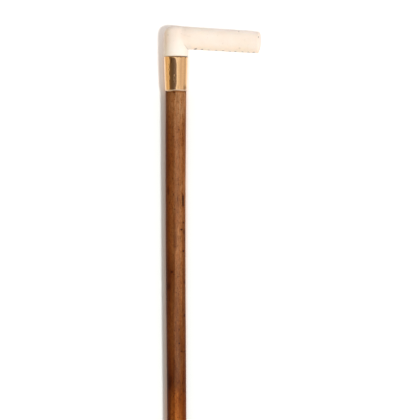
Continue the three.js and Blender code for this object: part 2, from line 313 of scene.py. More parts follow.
# How thick the cane is, as (height, radius), and how far it bows to the right, as (height, mm)
shaft_radii = [(ferrule_top, 8.7), (280.5, 9.164), (526, 9.66), (628.9, 9.86), (723.9, 10.07), (787.3, 10.26),
               (collar_foot, 10.42), (shaft_head, head_radius)]
shaft_bow = [(0, 0), (43, 0), (200, 0.4), (360, 0.85), (470, 0.9), (526, 0.73), (626, -0.07), (676, -0.32),
             (726, -0.41), (780, -0.26), (834.8, 0), (900, 0)]
heights = np.linspace(ferrule_top, collar_foot, 60)
radii = np.interp(heights, *zip(*shaft_radii))
# The bow is evened out over 50 mm, and dies away at the ferrule and the collar, where the cane is turned true.
bow = np.array([np.mean(np.interp(np.linspace(h - 25, h + 25, 11), *zip(*shaft_bow))) for h in heights])
bow *= ramp(heights, ferrule_top, ferrule_top + 30) * ramp(heights, collar_foot, collar_foot - 20)
shaft_rings = [(7.28, shaft_foot), (7.96, ferrule_top - 0.1), *zip(radii, heights, bow),
               (head_radius, shaft_head), (bore_radius, shaft_head), (bore_radius, bore_floor)]
shaft = turn_rings("cane_shaft", shaft_rings, 96)
smooth(shaft, 40)

# Malacca cane, scraped, stained and waxed. The stain is uneven along the length and darker in the fine pores, and one
# side has a paler ridge, as the cane grew. The tone below is how much red light the surface gives back.
cane, tree = new_material("waxed_malacca_cane")
space = add(tree, "TexCoord").outputs["Object"]
parts = add(tree, "SeparateXYZ", {0: space})
turn_degrees = degrees_round(tree, parts)
# Whatever runs along the cane wanders a little from side to side.
wander_space = add(tree, "Mapping", {0: space, "Scale": (30, 30, 20)})
wander = add(tree, "TexNoise", {0: wander_space, "Scale": 1, "Detail": 3})
side_step = add(tree, "MapRange", {0: wander, 1: 0.3, 2: 0.7, 3: -4, 4: 4}, clamp=False)
turned = add(tree, "Math", {0: turn_degrees, 1: side_step}, operation="ADD")
# Tones over the height, as (height, tone): the stain itself, and what a pale streak down the front, which is a
# painted highlight, a paler ridge beside it and the right side add to it
stain_tones = [(0, 0.125), (180, 0.155), (324, 0.11), (432, 0.15), (516, 0.135), (531, 0.112), (544, 0.072),
               (576, 0.125), (596, 0.135), (656, 0.097), (676, 0.157), (696, 0.155), (726, 0.18), (760, 0.157),
               (786, 0.16), (801, 0.178), (818, 0.23), (829, 0.225)]
pale_streak_and_highlight_tones = [(0, 0.08), (180, 0.11), (324, 0.08), (432, 0.11), (516, 0.172), (531, 0.135), (544, 0.07),
                (596, 0.038), (656, 0.146), (696, 0.124), (711, 0.086), (726, 0.022), (760, 0.097), (811, 0.08),
                (818, 0.06), (829, 0.075)]
ridge_tones = [(0, 0.055), (180, 0.08), (324, 0.055), (506, 0.115), (516, 0.066), (531, 0.05), (544, 0.086),
               (561, 0.07), (576, 0.006), (596, 0.027), (635, 0.14), (656, 0.156), (696, 0.098), (711, 0.13),
               (726, 0.07), (760, 0.113), (786, 0.073), (801, 0.113), (829, 0.124)]
right_tones = [(0, 0.013), (180, 0.04), (324, 0.013), (432, 0.04), (516, 0), (544, 0.04), (596, 0), (656, 0.065),
               (676, 0.013), (711, 0.04), (726, 0.026), (741, 0.104), (801, 0.026), (829, 0.09)]
stain, pale_streak_and_highlight, ridge, right_side = [by_height(tree, parts, rows)
                                    for rows in (stain_tones, pale_streak_and_highlight_tones, ridge_tones, right_tones)]
# Bands, as (degrees round, half width in degrees, which tone, how much of it): each is full, and then gone, at a
# share of its half width
full_to, gone_past = 0.45, 1.2
# The pale streak in front, at 4.5 degrees, is a painted highlight; the same tones further round are pale streaks.
bands = [(4.5, 14, pale_streak_and_highlight, 1), (29, 14.5, ridge, 1), (70, 30, right_side, 1), (-66, 30, stain, -0.24),
         (-22, 12, pale_streak_and_highlight, 0.15), (-135, 26, pale_streak_and_highlight, 0.93), (150, 18, ridge, 0.93)]
tone = stain
for middle, half, strength, share in bands:
    band = add(tree, "MapRange",
               {0: away_from(tree, turned, middle), 1: half * full_to, 2: half * gone_past, 3: share, 4: 0},
               interpolation_type="SMOOTHSTEP")
    tone = add(tree, "Math", {0: band, 1: strength, 2: tone}, operation="MULTIPLY_ADD")
# Long fibres, mottling and fine flecks, each as (scale per metre, detail, how much it changes the tone). Fibres are
# drawn 0.7 mm wide and pores 0.5 mm, coarser than real ones, because a pixel is 1 mm.
for scale, detail, amount in (((1500, 1500, 45), 4, 0.6), ((280, 280, 30), 3, 0.35), ((750, 750, 260), 5, 1)):
    drawn_space = add(tree, "Mapping", {0: space, "Scale": scale})
    drawn = add(tree, "TexNoise", {0: drawn_space, "Scale": 1, "Detail": detail})
    change = add(tree, "MapRange", {0: drawn, 3: 1 - amount / 2, 4: 1 + amount / 2}, clamp=False)
    tone = add(tree, "Math", {0: tone, 1: change}, operation="MULTIPLY")
# Pores: fine dark ticks that run with the fibres, and here and there a wide one
for scale, start, end, left in (((1900, 1900, 800), 0.57, 0.68, 0.55), ((1000, 1000, 520), 0.615, 0.68, 0.45)):
    pore_space = add(tree, "Mapping", {0: space, "Scale": scale})
    pores = add(tree, "TexNoise", {0: pore_space, "Scale": 1, "Detail": 2})
    pored = add(tree, "MapRange", {0: pores, 1: start, 2: end, 3: 1, 4: left})
    tone = add(tree, "Math", {0: tone, 1: pored}, operation="MULTIPLY")
# Marks from use: (degrees round, height, half width in degrees, half height, how much darker), pale ones negative.
# The pale one at 15.2 degrees is a scratch with a painted glint on it, and the one at 55.9 degrees is a painted
# glint.
marks = [(-8.5, 832.7, 8, 1.1, 0.6), (65.2, 832.8, 7.9, 1.2, 0.39), (17.7, 816.1, 2.9, 0.6, 0.52),
         (14.8, 812, 2.9, 0.7, 0.45), (13.8, 796, 2.9, 0.7, 0.45), (-12.6, 789.1, 8, 0.8, 0.52),
         (-28.7, 785.9, 4.4, 1.2, 0.39), (-17.2, 798.5, 3.5, 1.2, 0.33), (45.5, 785.3, 4.9, 1, 0.39),
         (37.3, 780.3, 5, 0.8, 0.39), (-17.4, 747.2, 4.7, 1.1, 0.59), (18.9, 745.3, 19.4, 0.4, 0.25),
         (-46.7, 735.7, 8.1, 5.5, 0.45), (-12.9, 731.2, 2.9, 1.3, 0.65), (47, 727.6, 8.8, 4.9, 0.861),
         (47.4, 722.4, 8.8, 4.9, 0.861), (-37.8, 723.3, 3.6, 1.3, 0.52), (10.6, 726.8, 2.9, 3.2, 0.45),
         (-6, 716.4, 5.8, 1, 0.52), (18.4, 720.8, 3.1, 1, 0.39), (50.2, 703.3, 7.4, 1.2, 0.78),
         (36.4, 696.3, 8, 1, 0.92), (57.2, 693.8, 10.9, 3, 0.59), (62, 686.9, 10.1, 5, 0.3),
         (51.2, 674.9, 11.3, 1.3, 0.85), (-22.9, 654.1, 10, 1.6, 0.6), (-10.2, 651.6, 4.7, 0.7, 0.52),
         (14.9, 649.4, 7.3, 0.6, 0.45), (-50.2, 639.5, 21.8, 4.5, 0.35), (63.7, 643.4, 10.6, 1.6, 0.59),
         (62.4, 610.5, 11.3, 1.6, 0.65), (19.2, 596.7, 4.3, 1, 0.65), (20.4, 583, 5, 1, 0.85),
         (36.4, 574.9, 9.3, 0.5, 0.65), (64, 574.8, 9.1, 0.9, 0.65), (-40.2, 543.3, 19.4, 9, 0.3),
         (21.5, 545.5, 3.7, 1.6, 0.39), (-13.8, 530.2, 3.1, 1.2, 0.52), (5, 524.6, 3, 0.9, 0.39),
         (15.2, 694.8, 1.8, 4.2, -1.6), (55.9, 824.2, 5.9, 0.7, -0.4), (4.9, 674.2, 5.8, 2.6, -0.28),
         (-22.7, 613.2, 4.5, 1.1, -0.25), (9.6, 572.4, 5.9, 3.2, -0.2), (12, 532, 5.4, 3.4, -0.2),
         (31.8, 738.7, 5.5, 2.6, -0.2), (6, 749.2, 5.2, 3.2, -0.2), (-160, 760, 6, 1.6, 0.78),
         (170, 640, 8, 2.5, 0.65), (-110, 700, 5, 6, 0.5), (120, 560, 6, 3, 0.65), (-30, 430, 7, 2, 0.78),
         (40, 330, 6, 4, 0.5), (-10, 210, 7, 1.5, 0.78), (100, 240, 8, 5, 0.5), (-130, 330, 7, 2, 0.78),
         (20, 120, 9, 3, 0.52), (-3, 692, 10, 22, 0.28), (-1.5, 684, 11, 10, 0.16), (-23, 512, 10, 24, -0.25),
         (-58, 620, 14, 75, -0.12), (39, 612, 6.5, 42, -0.16), (-5, 824, 6, 7, -0.14), (12.5, 827, 5, 8, 0.14)]
ragged = add(tree, "TexNoise", {0: space, "Scale": 900, "Detail": 3})
across_ragged = add(tree, "Math", {0: ragged, 1: 4, 2: -2}, operation="MULTIPLY_ADD")
along_ragged = add(tree, "Math", {0: ragged, 1: -1.2, 2: 0.6}, operation="MULTIPLY_ADD")
mark_turn = add(tree, "Math", {0: turn_degrees, 1: across_ragged}, operation="ADD")
mark_height = add(tree, "Math", {0: parts.outputs["Z"], 1: 1 / mm, 2: along_ragged}, operation="MULTIPLY_ADD")
mark_space = add(tree, "CombineXYZ", {0: mark_turn, 1: mark_height})


def reach(tree, place, middle, half, unit=1.0):
    """How far a place is from a mark's middle, in the mark's half widths. A half width of 0 leaves that axis out, and
    the unit is what middle and half are given in."""
    per = [1 / width if width else 0.0 for width in half]
    off = add(tree, "VectorMath",
              {0: place, 1: [share / unit for share in per], 2: [-share * at for share, at in zip(per, middle)]},
              operation="MULTIPLY_ADD")
    return add(tree, "VectorMath", {0: off}, operation="LENGTH").outputs["Value"]


full_to, gone_past = 0.35, 1.3
for degrees, height, half_degrees, half_height, darker in marks:
    from_mark = reach(tree, mark_space, (degrees, height, 0), (half_degrees, half_height, 0))
    marked = add(tree, "MapRange", {0: from_mark, 1: full_to, 2: gone_past, 3: 1 - darker, 4: 1},
                 interpolation_type="SMOOTHSTEP")
    tone = add(tree, "Math", {0: tone, 1: marked}, operation="MULTIPLY")
# Darker just under the collar's foot edge
by_collar = add(tree, "MapRange", {0: mark_height, 1: 832, 2: 834.2, 3: 1, 4: 0.62})
tone = add(tree, "Math", {0: tone, 1: by_collar}, operation="MULTIPLY")
tone_place = add(tree, "Math", {0: tone, 1: 2.5}, operation="MULTIPLY")
brown = add(tree, "ValToRGB", {0: tone_place},
            stops=[(0, "1a0a04"), (0.125, "3f1b0a"), (0.225, "552910"), (0.3, "613414"), (0.375, "6c3d1a"),
                   (0.45, "764420"), (0.55, "814e28"), (0.65, "8b5730"), (0.75, "956038"), (0.875, "a06b41"),
                   (1, "aa764d")])
# Redder towards the foot, and paler under the collar, where hands have bleached it
tint = by_height(tree, parts, [(0, (1, 0.88, 0.75, 1)), (405, (1, 0.85, 0.65, 1)), (504, (1, 0.72, 0.36, 1)),
                               (529.2, (1, 0.75, 0.4, 1)), (543.6, (1, 0.88, 0.7, 1)), (567, (1, 0.95, 0.9, 1)),
                               (792, (1, 0.97, 0.92, 1)), (814.5, (1, 1.08, 1.2, 1))])
tinted = add(tree, "VectorMath", {0: brown, 1: tint}, operation="MULTIPLY")
# Some fibres took the stain redder than others.
hue_space = add(tree, "Mapping", {0: space, "Scale": (1100, 1100, 90)})
hues = add(tree, "TexNoise", {0: hue_space, "Scale": 1, "Detail": 4})
fibre_hue = add(tree, "ValToRGB", {0: hues}, stops=[(0.3, (1.04, 0.88, 0.68, 1)), (0.7, (0.96, 1.12, 1.32, 1))])
stained = add(tree, "VectorMath", {0: tinted, 1: fibre_hue}, operation="MULTIPLY")
# The stain has gone redder down the left side too.
left_side = add(tree, "MapRange", {0: away_from(tree, turned, -62), 1: 28, 2: 44, 3: 1, 4: 0},
                interpolation_type="SMOOTHSTEP")
left_red = by_height(tree, parts, [(531, 0), (550.8, 1), (792, 1), (828, 0.2)])
reddened = add(tree, "Math", {0: left_side, 1: left_red}, operation="MULTIPLY")
redder = add(tree, "Mix", {0: reddened, 6: stained, 7: (1, 0.83, 0.64, 1)}, data_type="RGBA", blend_type="MULTIPLY")
# A painted sheen: a pale milky highlight along the front, weaker lower down and under the collar.
painted_sheen_band = add(tree, "MapRange", {0: away_from(tree, turned, 9), 1: 4, 2: 26, 3: 0.042, 4: 0},
            interpolation_type="SMOOTHSTEP")
sheen_low_share = add(tree, "MapRange", {0: parts.outputs["Z"], 1: 530 * mm, 2: 552 * mm, 3: 0.3, 4: 1})
sheen_collar_share = add(tree, "MapRange", {0: parts.outputs["Z"], 1: 790 * mm, 2: 820 * mm, 3: 1, 4: 0.35})
sheen_share = add(tree, "Math", {0: sheen_low_share, 1: sheen_collar_share}, operation="MULTIPLY")
painted_sheen = add(tree, "Math", {0: painted_sheen_band, 1: sheen_share}, operation="MULTIPLY")
cane_colour_with_sheen = add(tree, "Mix", {0: painted_sheen, 6: redder.outputs[2], 7: "cbb9b0"}, data_type="RGBA")
fibre_height = add(tree, "Bump", {"Strength": 0.4, "Distance": 0.05 * mm, "Height": tone})
shader = add(tree, "BsdfPrincipled",
             {"Base Color": cane_colour_with_sheen.outputs[2], "Roughness": 0.42, "IOR": 1.5, "Specular IOR Level": 0.04,
              "Normal": fibre_height})
add(tree, "OutputMaterial", {"Surface": shader})
shaft.data.materials.append(cane)
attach(shaft, "root")
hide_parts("shaft")


# --- Stud ---
# The hidden steel rod that pins the handle to the shaft, drawn bright and cut to length.
# Drawn steel: the die's lines stretch its glints along it. They are 0.17 mm wide, coarser than real ones, to show.
steel, tree = new_material("drawn_steel")
space = add(tree, "TexCoord").outputs["Object"]
drawn_space = add(tree, "Mapping", {0: space, "Scale": (6000, 6000, 200)})
drawn = add(tree, "TexNoise", {0: drawn_space, "Scale": 1, "Detail": 4})
steel_colour = add(tree, "ValToRGB", {0: drawn}, stops=[(0.3, "7d7972"), (0.7, "a5a19a")])
steel_rough = add(tree, "MapRange", {0: drawn, 3: 0.32, 4: 0.5})
drawn_height = add(tree, "Bump", {"Strength": 0.3, "Distance": 0.02 * mm, "Height": drawn})
shader = add(tree, "BsdfPrincipled",
             {"Base Color": steel_colour, "Metallic": 1, "Roughness": steel_rough, "Normal": drawn_height})
add(tree, "OutputMaterial", {"Surface": shader})
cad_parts["handle_stud"].data.materials.clear()
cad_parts["handle_stud"].data.materials.append(steel)


# --- Collar ---
# A thin gold band, raised over a stake and polished by hand, so a little uneven. Its foot edge is burnished in on the
# cane, and years of handling have dented it.
collar_outside = [(835.6, 10.72), (836.6, 10.8), (838, 10.9), (840, 11.01), (842, 11.1), (845, 11.21),
                  (849, 11.38), (853, 11.52), (857, 11.65), (861, 11.78), (865, 11.88), (867.7, 11.92)]
collar_rings = [(10.5, 835.3), (10.46, 835), (10.52, 834.85), (10.6, 834.87), (10.66, 835), (10.69, 835.2)]
for height in np.linspace(collar_outside[0][0], collar_outside[-1][0], 84):
    collar_rings.append((np.interp(height, *zip(*collar_outside)), height))
collar_rings += [(11.92, 868.1), (11.89, 868.3), (11.82, 868.42), (11.68, 868.46), (11.5, 868.36), (11.38, 868),
                 (11, 852), (10.62, 840)]
collar = turn_rings("gold_collar", collar_rings, 320, hollow=True)

# Dents: (degrees round, height, half width in degrees, half height, depth), and bumps where the depth is negative
dents = [(-48, 866, 10, 3.4, 0.22), (2, 869.4, 24, 2, 0.5), (12, 869.4, 18, 5, 0.3), (10, 867.5, 9, 4, 0.12),
         (9, 835.6, 12, 3.6, 0.26), (-36, 863.6, 7, 2.4, 0.13), (-36.5, 860.6, 3, 0.9, 0.08),
         (-33, 858.6, 3, 0.8, -0.08), (-36, 855.8, 3, 0.8, 0.1), (-33.5, 853, 3, 0.9, -0.08),
         (-37, 848.5, 3, 1.6, 0.06), (-5.8, 849.8, 2.4, 0.6, 0.15), (-8.8, 847.4, 1.8, 1.2, 0.11),
         (-3, 844.4, 1.8, 0.6, 0.11), (-3.5, 855.8, 2, 0.6, 0.09), (-12, 858.8, 2.2, 0.7, 0.07),
         (-49, 848.2, 3, 0.7, 0.1), (-57, 852, 4, 1.2, 0.08), (-60, 843, 5, 1.6, 0.07), (-56, 859, 4, 1.2, -0.07),
         (28, 858, 9, 5, 0.03), (55, 839.5, 8, 4.6, 0.2), (20, 838.5, 4, 2.6, 0.05), (95, 850, 8, 3, 0.08),
         (140, 860, 9, 4, 0.1), (175, 845, 7, 3, 0.07), (-120, 856, 8, 2.5, 0.08), (-155, 842, 9, 3, 0.08)]


def wave(degrees, times, start=0):
    """A wave that goes up and down a number of times on its way round."""
    return math.sin(math.radians(times * degrees + start))


def swell(degrees, middle, half, power=2):
    """1 in the middle direction, falling away to both sides of it."""
    return math.exp(-((degrees - middle) / half) ** power)


# The head edge was trimmed by eye and rises on the left, and the foot edge waves where it was burnished in.
trimmed_from, trimmed_full, rim_rise, highest_rim = 865, 868.5, (-68, 30, 4), 869.02
turned_in_from, turned_in_full = 836.4, 834.8
lining_radius, wall = 10.4, 0.4
for vertex in collar.data.vertices:
    x, y, z = vertex.co / mm
    radius, degrees = math.hypot(x, y), math.degrees(math.atan2(x, -y))
    inward = 0
    for middle, height, half_degrees, half_height, depth in dents:
        turned_off = (degrees - middle + 180) % 360 - 180
        inward += depth * math.exp(-(turned_off / half_degrees) ** 2 - ((z - height) / half_height) ** 2)
    edge_wave = wave(degrees, 3, 40) + 0.6 * wave(degrees, 7)
    near_head = max(0, (z - trimmed_from) / (trimmed_full - trimmed_from))
    z += near_head * (0.55 * swell(degrees, *rim_rise) - 0.25 * swell(degrees, 42, 28, 4) + 0.05 * edge_wave)
    near_foot = max(0, (turned_in_from - z) / (turned_in_from - turned_in_full))
    z += near_foot * (0.1 * wave(degrees, 5, 75) + 0.06 * edge_wave - 0.65 * swell(degrees, -42, 23)
                      - 0.25 * swell(degrees, 35, 25))
    shrink = (radius - inward * min(1, (radius - lining_radius) / wall)) / radius
    vertex.co = (x * shrink * mm, y * shrink * mm, min(z, highest_rim) * mm)
smooth(collar, 70)

# Polished gold: a clear warm mirror, bent by hollows about 6 mm wide that the hammer left, and a little hazy where it
# is rubbed, in patches 1 mm wide.
gold, tree = new_material("polished_gold")
space = add(tree, "TexCoord").outputs["Object"]
dent_space = add(tree, "Mapping", {0: space, "Scale": (170, 170, 90)})
hollows = add(tree, "TexNoise", {0: dent_space, "Scale": 1, "Detail": 2})
dent_height = add(tree, "Bump", {"Strength": 1, "Distance": 0.09 * mm, "Height": hollows})
wear_space = add(tree, "Mapping", {0: space, "Scale": (900, 900, 700)})
wear = add(tree, "TexNoise", {0: wear_space, "Scale": 1, "Detail": 5})
gold_rough = add(tree, "MapRange", {0: wear, 3: 0.05, 4: 0.16})
gold_colour = add(tree, "ValToRGB", {0: wear}, stops=[(0.25, "f1c28b"), (0.7, "f8cb97")])
# Darker brown blots in a few hollows and along both edges, as (across, height, half width, half height)
parts = add(tree, "SeparateXYZ", {0: space})
dark_blot_places = [(-4.5, 864.6, 0.6, 2.6), (-6.1, 852, 0.5, 1.4), (4.7, 868, 1.6, 0.7), (9.4, 867.8, 0.5, 0.9),
                  (9.3, 837.2, 1.7, 3.2), (2.2, 837.6, 0.35, 3)]
ragged = add(tree, "TexNoise", {0: space, "Scale": 700, "Detail": 3})


def blots(places, inner, outer, most):
    """Ragged blots at each (across, height, half width, half height), strong up to inner and gone past outer."""
    least = outer
    for across, height, half_width, half_height in places:
        from_blot = reach(tree, space, (across, 0, height), (half_width, 0, half_height), mm)
        ragged_reach = add(tree, "Math", {0: from_blot, 1: ragged}, operation="ADD")
        least = add(tree, "Math", {0: least, 1: ragged_reach}, operation="MINIMUM")
    return add(tree, "MapRange", {0: least, 1: inner, 2: outer, 3: most, 4: 0}, interpolation_type="SMOOTHSTEP")


blotted = blots(dark_blot_places, 0.8, 1.9, 0.55)
gold_seen = add(tree, "Mix", {0: blotted, 6: gold_colour, 7: "7c552c"}, data_type="RGBA")
# Its foot edge, turned in on the cane, is rubbed rougher, and paler with a painted highlight along the lip.
rubbed_and_lit_lip = add(tree, "MapRange", {0: parts.outputs["Z"], 1: 835.2 * mm, 2: 836.5 * mm, 3: 0.55, 4: 0})
gold_worn_and_lit = add(tree, "Mix", {0: rubbed_and_lit_lip, 6: gold_seen.outputs[2], 7: "f0e2d0"}, data_type="RGBA")
# Scuffs have lost the polish.
scuffed = blots([(-1.3, 849.7, 0.9, 2.2), (-1.7, 845.6, 0.5, 4.2), (-6.3, 847.5, 0.7, 2.2)], 0.7, 1.7, 0.42)
gold_scuffed = add(tree, "Math", {0: gold_rough, 1: scuffed}, operation="MAXIMUM")
gold_rubbed = add(tree, "Math", {0: gold_scuffed, 1: rubbed_and_lit_lip}, operation="MAXIMUM")
shader = add(tree, "BsdfPrincipled",
             {"Base Color": gold_worn_and_lit.outputs[2], "Metallic": 1, "Roughness": gold_rubbed, "Normal": dent_height})
add(tree, "OutputMaterial", {"Surface": shader})
collar.data.materials.append(gold)
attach(collar, "root")
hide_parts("collar")


# --- Pitch bedding ---
# The dark pitch that fills the collar round the cane. It squeezed out at the joint and set as a ragged line.
pitch_profile = [(3.3, 868.55), (10.62, 868.55), (10.44, 836.8), (10.56, 836.8), (10.62, 840.4), (10.98, 852.2),
                 (11.36, 868.1), (11.5, 868.42), (11.72, 868.48), (11.88, 868.56), (11.93, 868.7), (11.92, 868.86),
                 (11.85, 868.98), (11.7, 869.04), (3.3, 869.04)]
bedding = turn_rings("pitch_bedding", pitch_profile, 240, hollow=True)
lip_radius, lip_foot = 11.6, 868.4
for vertex in bedding.data.vertices:
    x, y, z = vertex.co / mm
    radius, degrees = math.hypot(x, y), math.degrees(math.atan2(x, -y))
    if radius > lip_radius and z > lip_foot:
        lump = wave(degrees, 11, 20) + wave(degrees, 17) + wave(degrees, 29, 70)
        # None came out where the collar's rim stands highest.
        grow = 1 + (0.05 * lump - 0.35 * swell(degrees, *rim_rise)) / radius
        vertex.co = (x * grow * mm, y * grow * mm, z * mm)
smooth(bedding, 60)

# Set pitch: dull, and brown where light goes into its thin lip. Its grit is drawn 0.7 mm wide, coarser than real.
pitch, tree = new_material("set_pitch")
space = add(tree, "TexCoord").outputs["Object"]
grit = add(tree, "TexNoise", {0: space, "Scale": 1500, "Detail": 4})
pitch_colour = add(tree, "ValToRGB", {0: grit}, stops=[(0.35, "5a4028"), (0.65, "94724c")])
grit_height = add(tree, "Bump", {"Strength": 0.8, "Distance": 0.1 * mm, "Height": grit})
shader = add(tree, "BsdfPrincipled", {"Base Color": pitch_colour, "Roughness": 0.6, "Normal": grit_height})
add(tree, "OutputMaterial", {"Surface": shader})
bedding.data.materials.append(pitch)
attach(bedding, "root")
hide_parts("collar_bedding")


# --- Handle ---
# One piece of bone, sawn to an L, rounded with rasps and polished. The inside corner is left sharp, and ten cross
# notches are filed in the underside of the arm for grip. The notches and the lower end of the inside corner are
# darkened, and dirt has settled in the pores.
handle_foot, stem_radius, handle_top = 869.05, 12.15, 900
corner_squareness = 2.7
stem_rings = [(11.7, handle_foot), (11.9, handle_foot + 0.05), (12.05, handle_foot + 0.2),
              (12.12, handle_foot + 0.45), (stem_radius, handle_foot + 0.9)]
for i in range(25):
    turn = 0.97 * quarter_turn * i / 24
    out = math.cos(turn) ** (2 / corner_squareness)
    rise = math.sin(turn) ** (2 / corner_squareness)
    stem_rings.append((stem_radius * out, handle_top - stem_radius * (1 - rise)))
handle = turn_rings("bone_handle", stem_rings, 128)

arm_length, arm_root, arm_droop, arm_axis_height = 85.4, 11.36, math.radians(3.5), 888.32
# The arm thins unevenly, as (share of its length, share of its radius at the root).
arm_radii = [(0, 1), (0.17, 0.996), (0.36, 0.981), (0.52, 0.974), (0.66, 0.981), (0.8, 0.968), (0.93, 0.96)]


def arm_radius(distance):
    """The arm's radius at a distance along its axis."""
    return arm_root * np.interp(distance / arm_length, *zip(*arm_radii))


def lay_along_arm(piece):
    """Turns a piece that was made upright down along the arm's axis."""
    piece.rotation_euler = (0, quarter_turn + arm_droop, 0)
    piece.location = (0, 0, arm_axis_height * mm)
    bpy.ops.object.transform_apply(location=True, rotation=True)


arm_rings = [(6, -8), (9.5, -5)]
arm_rings += [(arm_radius(distance), distance) for distance in np.linspace(0, 0.945 * arm_length, 30)]
arm_rings += [(11.04, 81.5), (10.98, 82.1), (10.84, 82.65), (10.6, 83.15), (10.27, 83.55), (9.8, 83.85),
              (8.8, 84.2), (7, 84.68), (5, 85.05), (3, 85.28), (1.2, 85.39), (0.3, arm_length)]
arm = turn_rings("arm_blank", arm_rings, 128)
lay_along_arm(arm)


def apply_modifier(piece, kind, settings):
    """Adds one modifier with its settings and applies it."""
    bpy.ops.object.select_all(action="DESELECT")
    piece.select_set(True)
    bpy.context.view_layer.objects.active = piece
    modifier = piece.modifiers.new(kind.lower(), kind)
    for name, value in settings.items():
        setattr(modifier, name, value)
    bpy.ops.object.modifier_apply(modifier=modifier.name)


apply_modifier(handle, "BOOLEAN", {"operation": "UNION", "object": arm, "solver": "EXACT"})
bpy.data.objects.remove(arm)
# Made one skin of small even squares, so that it can be smoothed as a file smooths it
square = 0.36
apply_modifier(handle, "REMESH", {"mode": "VOXEL", "voxel_size": square * mm})
apply_modifier(handle, "SMOOTH", {"factor": 0.5, "iterations": 4})


def places_of(piece):
    """Where a piece's points are, in mm: all their x, all their y and all their z."""
    points = np.empty(len(piece.data.vertices) * 3)
    piece.data.vertices.foreach_get("co", points)
    return (points.reshape(-1, 3) / mm).T


# The file has rounded the outside of the corner where the arm runs into the stem, but couldn't reach the inside.
x, y, z = places_of(handle)
filed = ramp(z, 880, 884) * ramp(x, 1, 5) * ramp(x, 26, 20)
rounding = handle.vertex_groups.new(name="rounded_corner")
for weight in np.linspace(0.1, 1.0, 10):
    chosen = np.nonzero(np.abs(filed - weight) <= 0.05)[0]
    rounding.add(chosen.tolist(), float(weight), "REPLACE")
apply_modifier(handle, "SMOOTH", {"factor": 0.5, "iterations": 120, "vertex_group": "rounded_corner"})

# Each notch is filed with a round file, as (distance along the arm, width, depth, slant in degrees). Its floor curves
# less than the arm does, so that it runs out at both sides.
notches = [(18.4, 3.2, 0.7, -24), (26.5, 3.6, 0.56, -3), (33.9, 3.3, 0.36, 3), (40.7, 3.3, 0.38, -3),
           (48.1, 3.6, 0.42, 2), (54.4, 3.2, 0.36, -2), (60.4, 3.2, 0.44, 2), (67.3, 3.2, 0.4, 0),
           (72.9, 3.4, 0.42, -3), (78.8, 3.6, 0.5, 2)]
floor_curve = 1.9
files = []
for distance, width, depth, slant in notches:
    floor_radius = floor_curve * arm_radius(distance)
    file_radius = ((width / 2) ** 2 + depth ** 2) / (2 * depth)
    bpy.ops.object.select_all(action="DESELECT")
    bpy.ops.mesh.primitive_torus_add(major_radius=(floor_radius + file_radius) * mm, minor_radius=file_radius * mm,
                                     major_segments=160, minor_segments=48)
    ring = bpy.context.object
    ring.rotation_euler = (math.radians(slant), 0, 0)
    bpy.ops.object.transform_apply(rotation=True)
    ring.location = ((arm_radius(distance) - depth - floor_radius) * mm, 0, distance * mm)
    bpy.ops.object.transform_apply(location=True)
    lay_along_arm(ring)
    files.append(ring)
for ring in files:
    ring.select_set(True)
bpy.context.view_layer.objects.active = files[0]
bpy.ops.object.join()
apply_modifier(handle, "BOOLEAN", {"operation": "DIFFERENCE", "object": files[0], "solver": "EXACT"})
bpy.data.objects.remove(files[0])
smooth(handle, 35)

# Darkening, worked out at each point of the surface: in the notches and along the lower end of the inside corner
x, y, z = places_of(handle)
along = x * math.cos(arm_droop) - (z - arm_axis_height) * math.sin(arm_droop)
across = x * math.sin(arm_droop) + (z - arm_axis_height) * math.cos(arm_droop)
from_arm_axis = np.hypot(across, y)
nominal = arm_radius(along)
depth_below = ramp(nominal - from_arm_axis, 0.03, 0.15)
near_notch = np.zeros(len(x))
deepest = max(depth for distance, width, depth, slant in notches)
for distance, width, depth, slant in notches:
    slanted = along - distance - math.tan(math.radians(slant)) * y
    # The deepest one is darkened less than the rest.
    darkening_share = 0.75 if depth == deepest else 1
    near_notch = np.maximum(near_notch, darkening_share * (np.abs(slanted) < width * 0.8))
underside = across < -6
in_notch = depth_below * near_notch * underside
from_stem = np.abs(np.hypot(x, y) - stem_radius)
from_arm = np.abs(from_arm_axis - nominal)
in_corner = ramp(np.maximum(from_stem, from_arm), 0.6, 0) * ramp(z, 882, 878) * (x > 4)
recess_darkening = handle.data.attributes.new("recess_darkening", "FLOAT", "POINT")
recess_darkening.data.foreach_set("value", np.maximum(in_notch, in_corner * 0.7).astype(np.float32))


def between(values, start, end):
    """0 before start and 1 past end, with a smooth way between."""
    share = ramp(values, start, end)
    return (share * share * (3 - 2 * share))[:, None]


# Old bone yellows unevenly: most at the corner, and least just above the collar. Other tints are painted light and
# shade: darker and warmer down its outer side, away from the lamp, is painted shade; brighter and warmer under the
# arm is painted light from below; paler and cooler along the arm's top is painted light from above. Just above the
# pitch it is darker and warmer.
shaded_outer_side = between(x, -4, -11.5)
corner_top = between(z, 880, 897.5) * between(x, 18, 6)
corner_top *= 1 - 0.7 * between(x, 1, -5) * between(z, 898, 895)
by_collar = between(z, 884, 874) * between(x, 15, 11)
by_pitch = between(z, 870.5, 869.2)
lit_under_arm = between(across, -4, -10.5) * between(x, 13, 18)
lit_arm_top = between(across, 6.5, 10.5) * between(x, 26, 48)
tints = np.ones((len(x), 4))
for share, tint in ((shaded_outer_side, (0.95, 0.89, 0.83, 1)), (corner_top, (0.94, 0.91, 0.9, 1)),
                    (by_collar, (1.006, 1.05, 1.065, 1)), (lit_under_arm, (1.1, 1.05, 0.97, 1)),
                    (lit_arm_top, (1.055, 1.055, 1.11, 1)), (by_pitch, (0.9, 0.86, 0.8, 1))):
    tints *= 1 + share * (np.array(tint) - 1)
yellowing_and_painted_light = handle.data.attributes.new("yellowing_and_painted_light", "FLOAT_COLOR", "POINT")
yellowing_and_painted_light.data.foreach_set("color", tints.astype(np.float32).ravel())

